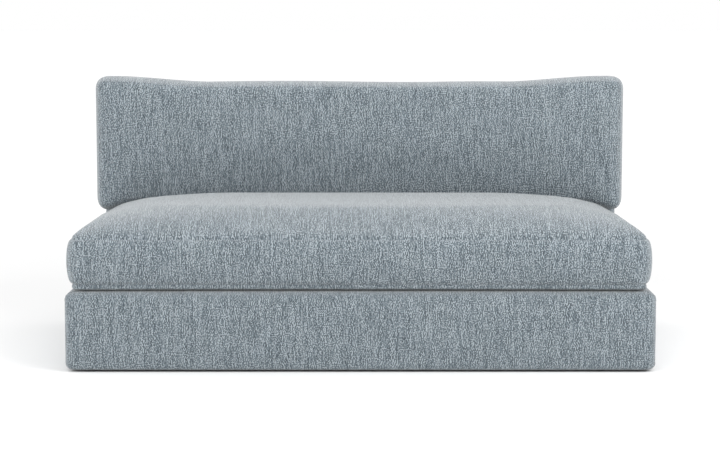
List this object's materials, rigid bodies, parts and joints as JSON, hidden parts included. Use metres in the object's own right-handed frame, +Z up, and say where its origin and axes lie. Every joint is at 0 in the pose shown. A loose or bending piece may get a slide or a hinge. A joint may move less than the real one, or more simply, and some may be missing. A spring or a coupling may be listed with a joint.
{
  "type": "armless sofa",
  "caption": "Armless fabric sofa with a bench seat cushion and a back cushion, both loose, on a padded box base that reaches almost to the floor.",
  "frame": {"origin": "on the floor under the middle of the sofa's outline", "axes": "+X along the sofa's width, front towards -Y, +Z up"},
  "size_m": [1.78, 0.99, 0.8728],
  "materials": {
    "upholstery_fabric": "chunky blue-grey melange weave",
    "deck_cloth": "plain dark decking cloth",
    "dust_cloth": "black non-woven",
    "wadding": "white bonded fibre",
    "foam": "cream polyurethane foam",
    "felt": "grey needled felt",
    "webbing": "black elastic webbing",
    "zip_tape": "grey woven tape with a nylon chain",
    "zip_metal": "grey enamelled zinc",
    "frame_plywood": "sawn plywood",
    "frame_hardwood": "planed hardwood",
    "spring_steel": "black lacquered wire",
    "clip_steel": "bright pressed steel",
    "screw_steel": "zinc plated",
    "backing_board": "brown fibreboard",
    "glide_nylon": "black nylon"
  },
  "bodies": {
    "sofa_frame": {"front_rail": "frame_plywood", "rear_rail": "frame_plywood", "left_rail": "frame_plywood", "right_rail": "frame_plywood", "spring_rail": "frame_hardwood", "cross_stretchers": "frame_hardwood", "corner_blocks": "frame_hardwood", "left_back_post": "frame_hardwood", "right_back_post": "frame_hardwood", "back_top_rail": "frame_hardwood", "back_bottom_rail": "frame_hardwood", "back_braces": "frame_hardwood", "back_screws": "screw_steel", "seat_springs": "spring_steel", "spring_clips": "clip_steel", "tie_wires": "spring_steel", "spring_insulator": "felt", "deck_pad": "wadding", "deck_cloth": "deck_cloth", "front_pad": "wadding", "left_pad": "wadding", "right_pad": "wadding", "base_front_cover": "upholstery_fabric", "base_left_cover": "upholstery_fabric", "base_right_cover": "upholstery_fabric", "back_webbing": "webbing", "inside_back_pad": "wadding", "back_top_pad": "wadding", "left_back_end_pad": "wadding", "right_back_end_pad": "wadding", "inside_back_cover": "upholstery_fabric", "left_back_end_cover": "upholstery_fabric", "right_back_end_cover": "upholstery_fabric", "outside_back_board": "backing_board", "outside_back_cover": "upholstery_fabric", "dust_cover": "dust_cloth", "glides": "glide_nylon"},
    "seat_cushion": {"seat_top_panel": "upholstery_fabric", "seat_bottom_panel": "upholstery_fabric", "seat_boxing": "upholstery_fabric", "seat_zip_boxing": "upholstery_fabric", "seat_zip": "zip_tape", "seat_fibre_wrap": "wadding", "seat_foam_core": "foam"},
    "back_cushion": {"back_front_panel": "upholstery_fabric", "back_boxing": "upholstery_fabric", "back_rear_panel": "upholstery_fabric", "back_zip": "zip_tape", "back_fibre_wrap": "wadding", "back_foam_core": "foam"},
    "seat_zip_pull": {"seat_zip_slider": "zip_metal"},
    "back_zip_pull": {"back_zip_slider": "zip_metal"}
  },
  "joints": [
    {"name": "seat_cushion_lift", "type": "slide", "parent": "sofa_frame", "child": "seat_cushion", "axis": [0, 0, 1], "range_m": [0, 0.6]},
    {"name": "back_cushion_lift", "type": "slide", "parent": "seat_cushion", "child": "back_cushion", "axis": [0, 0, 1], "range_m": [0, 0.4]},
    {"name": "seat_zip_slide", "type": "slide", "parent": "seat_cushion", "child": "seat_zip_pull", "axis": [1, 0, 0], "range_m": [0, 1.59]},
    {"name": "back_zip_slide", "type": "slide", "parent": "back_cushion", "child": "back_zip_pull", "axis": [1, 0, 0], "range_m": [0, 1.6]}
  ]
}
